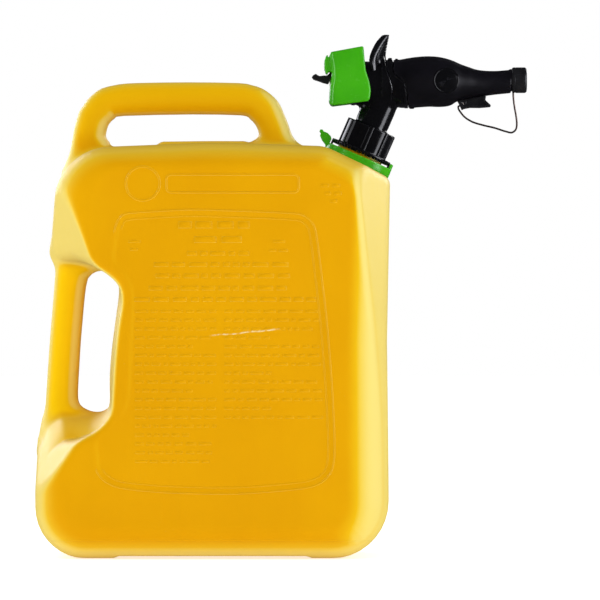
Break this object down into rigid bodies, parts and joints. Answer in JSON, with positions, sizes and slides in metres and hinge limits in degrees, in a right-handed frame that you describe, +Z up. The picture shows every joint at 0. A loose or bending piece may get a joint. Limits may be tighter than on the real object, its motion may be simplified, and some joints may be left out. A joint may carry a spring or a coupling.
{
  "type": "safety gas can",
  "caption": "Upright blow-moulded fuel can with top and rear handles and a swivelling self-closing pour spout screwed to a tilted neck; a push button with a safety latch opens its valve.",
  "frame": {"origin": "on the floor, under the middle of the overall length and width; the middle of the can's base is 59.65 mm behind it, as the spout overhangs the front", "axes": "+Z up, +X towards the spout, +Y across the can's width"},
  "size_m": [0.4249, 0.235, 0.4503],
  "materials": {
    "yellow_hdpe": "blow-moulded polyethylene, waxy semi-gloss with faint mould texture, slightly translucent at thin edges",
    "black_gloss": "injection-moulded black plastic, smooth and glossy",
    "black_moulded": "injection-moulded black plastic, fine satin mould texture",
    "green_plastic": "injection-moulded bright green plastic, semi-gloss",
    "black_rubber": "black nitrile rubber, matte",
    "natural_plastic": "undyed acetal plastic, satin",
    "spring_steel": "drawn spring wire",
    "wire_steel": "dark drawn steel wire with slight oxidation",
    "steel": "plated steel"
  },
  "bodies": {
    "can": {"can_shell": "yellow_hdpe", "flame_screen": "black_moulded", "lock_ring": "green_plastic"},
    "lock_lever": {"release_lever": "green_plastic"},
    "seal_carrier": {"neck_gasket": "black_rubber"},
    "collar": {"screw_collar": "black_gloss"},
    "spout": {"spout_base": "black_moulded", "elbow_housing": "black_gloss", "finger_guard": "black_gloss", "nozzle_lock_ring": "black_gloss", "nozzle_oring": "black_rubber", "nozzle_tube": "black_gloss", "nozzle_tip": "black_moulded", "filler_hook": "black_moulded", "vent_tube": "natural_plastic", "vent_tube_carrier": "black_moulded", "valve_seat": "natural_plastic", "stem_oring": "black_rubber", "stem_seal_retainer": "natural_plastic", "return_spring": "spring_steel"},
    "button": {"pour_button": "green_plastic", "valve_stem": "natural_plastic", "valve_disc": "natural_plastic", "valve_seal": "black_rubber", "valve_screw": "steel", "latch_pin": "steel", "latch_spring": "spring_steel"},
    "latch": {"safety_latch": "black_moulded"},
    "wire": {"wire_spring": "wire_steel"}
  },
  "joints": [
    {"name": "lock_lever_flex", "type": "hinge", "parent": "can", "child": "lock_lever", "pos_m": [0.03935, 0, 0.35317], "axis": [0, -1, 0], "range_deg": [0, 10], "stiffness_Nm_per_rad": 0.5},
    {"name": "spout_lift", "type": "slide", "parent": "can", "child": "seal_carrier", "axis": [0.3987, 0, 0.9171], "range_m": [0, 0.00833]},
    {"name": "collar_turn", "type": "hinge", "parent": "seal_carrier", "child": "collar", "pos_m": [0.06455, 0, 0.3384], "axis": [0.3987, 0, 0.9171], "range_deg": [0, 600]},
    {"name": "spout_swivel", "type": "hinge", "parent": "seal_carrier", "child": "spout", "pos_m": [0.06455, 0, 0.3384], "axis": [0.3987, 0, 0.9171], "continuous": true},
    {"name": "button_push", "type": "slide", "parent": "spout", "child": "button", "axis": [1, 0, 0], "range_m": [0, 0.008], "stiffness_N_per_m": 600, "springref_m": -0.01, "deforming": ["return_spring"]},
    {"name": "latch_press", "type": "hinge", "parent": "button", "child": "latch", "pos_m": [0.04985, 0, 0.4208], "axis": [0, -1, 0], "range_deg": [0, 10], "stiffness_Nm_per_rad": 0.3, "springref_deg": -11.46},
    {"name": "wire_flex", "type": "hinge", "parent": "spout", "child": "wire", "pos_m": [0.15715, 0, 0.3908], "axis": [0, -1, 0], "range_deg": [0, 3], "stiffness_Nm_per_rad": 1}
  ],
  "couplings": [
    {"joint": "collar_turn", "follows": "spout_lift", "rad_per_m": 1256.6}
  ]
}
